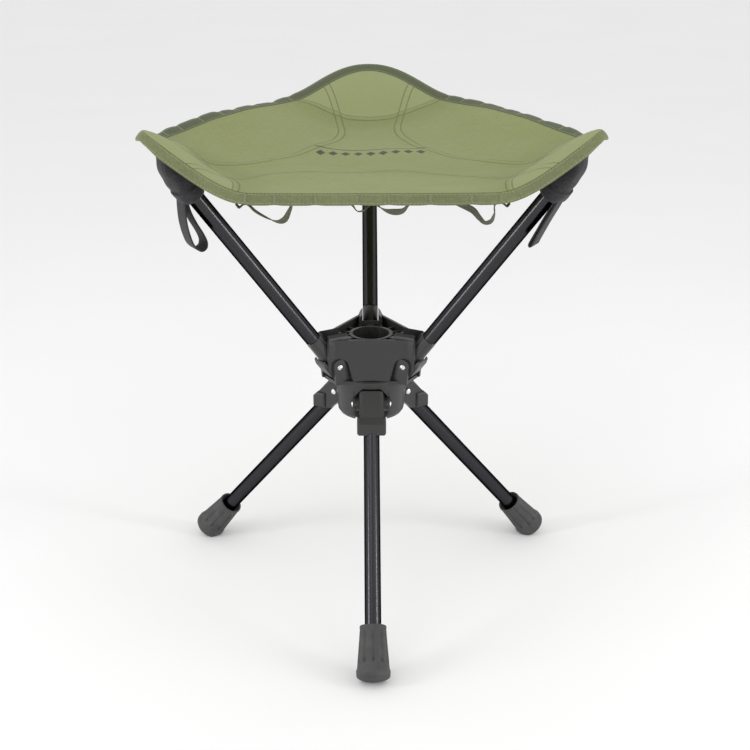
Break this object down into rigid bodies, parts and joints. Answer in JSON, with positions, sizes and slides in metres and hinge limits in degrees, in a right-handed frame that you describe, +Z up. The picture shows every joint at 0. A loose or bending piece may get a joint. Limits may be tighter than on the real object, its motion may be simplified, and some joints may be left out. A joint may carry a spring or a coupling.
{
  "type": "three-leg folding camp stool",
  "caption": "Folding camp stool: splayed legs on rubber feet and raised arms hinge on a plastic hub, and the arms carry a triangular fabric seat.",
  "frame": {"origin": "on the floor, under the middle of the stool's bounding box", "axes": "+Z up; the low front edge of the seat faces -Y and +X is to the right when facing that edge"},
  "size_m": [0.4286, 0.4664, 0.5121],
  "materials": {
    "hub_plastic": "fine-grained dark grey moulding",
    "tube_anodised": "satin black anodising",
    "rivet_steel": "bright domed rivet heads",
    "foot_rubber": "matt fluted rubber",
    "seat_cloth": "plain-weave olive polyester",
    "hem_cloth": "dark olive binding tape",
    "black_webbing": "ribbed black webbing"
  },
  "bodies": {
    "hub": {"upper_hub": "hub_plastic", "lower_hub": "hub_plastic", "hub_screw": "rivet_steel", "arm_pin_1": "rivet_steel", "arm_pin_2": "rivet_steel", "arm_pin_3": "rivet_steel", "leg_pin_1": "rivet_steel", "leg_pin_2": "rivet_steel", "leg_pin_3": "rivet_steel", "seat_panel": "seat_cloth", "seat_hem": "hem_cloth", "ribbon_1": "hem_cloth", "ribbon_2": "hem_cloth", "ribbon_3": "hem_cloth"},
    "arm_1": {"arm_knuckle_1": "hub_plastic", "arm_tube_1": "tube_anodised", "arm_cap_1": "hub_plastic", "pocket_1": "black_webbing", "pull_loop_1": "black_webbing"},
    "arm_2": {"arm_knuckle_2": "hub_plastic", "arm_tube_2": "tube_anodised", "arm_cap_2": "hub_plastic", "pocket_2": "black_webbing", "pull_loop_2": "black_webbing"},
    "arm_3": {"arm_knuckle_3": "hub_plastic", "arm_tube_3": "tube_anodised", "arm_cap_3": "hub_plastic", "pocket_3": "black_webbing", "pull_loop_3": "black_webbing"},
    "leg_1": {"leg_knuckle_1": "hub_plastic", "leg_tube_1": "tube_anodised", "foot_1": "foot_rubber"},
    "leg_2": {"leg_knuckle_2": "hub_plastic", "leg_tube_2": "tube_anodised", "foot_2": "foot_rubber"},
    "leg_3": {"leg_knuckle_3": "hub_plastic", "leg_tube_3": "tube_anodised", "foot_3": "foot_rubber"}
  },
  "joints": [
    {"name": "arm_1_fold", "type": "hinge", "parent": "hub", "child": "arm_1", "pos_m": [-0.03889, -0.03065, 0.2552], "axis": [-0.5, 0.866, 0], "range_deg": [0, 37], "deforming": ["seat_panel", "seat_hem", "ribbon_1", "ribbon_2", "ribbon_3"]},
    {"name": "arm_2_fold", "type": "hinge", "parent": "hub", "child": "arm_2", "pos_m": [0.03889, -0.03065, 0.2552], "axis": [-0.5, -0.866, 0], "range_deg": [0, 37], "deforming": ["seat_panel", "seat_hem", "ribbon_1", "ribbon_2", "ribbon_3"]},
    {"name": "arm_3_fold", "type": "hinge", "parent": "hub", "child": "arm_3", "pos_m": [0, 0.0367, 0.2552], "axis": [1, 0, 0], "range_deg": [0, 37], "deforming": ["seat_panel", "seat_hem", "ribbon_1", "ribbon_2", "ribbon_3"]},
    {"name": "leg_1_fold", "type": "hinge", "parent": "hub", "child": "leg_1", "pos_m": [0, -0.0417, 0.2152], "axis": [1, 0, 0], "range_deg": [0, 41]},
    {"name": "leg_2_fold", "type": "hinge", "parent": "hub", "child": "leg_2", "pos_m": [0.02901, 0.00855, 0.2152], "axis": [-0.5, 0.866, 0], "range_deg": [0, 41]},
    {"name": "leg_3_fold", "type": "hinge", "parent": "hub", "child": "leg_3", "pos_m": [-0.02901, 0.00855, 0.2152], "axis": [-0.5, -0.866, 0], "range_deg": [0, 41]}
  ]
}
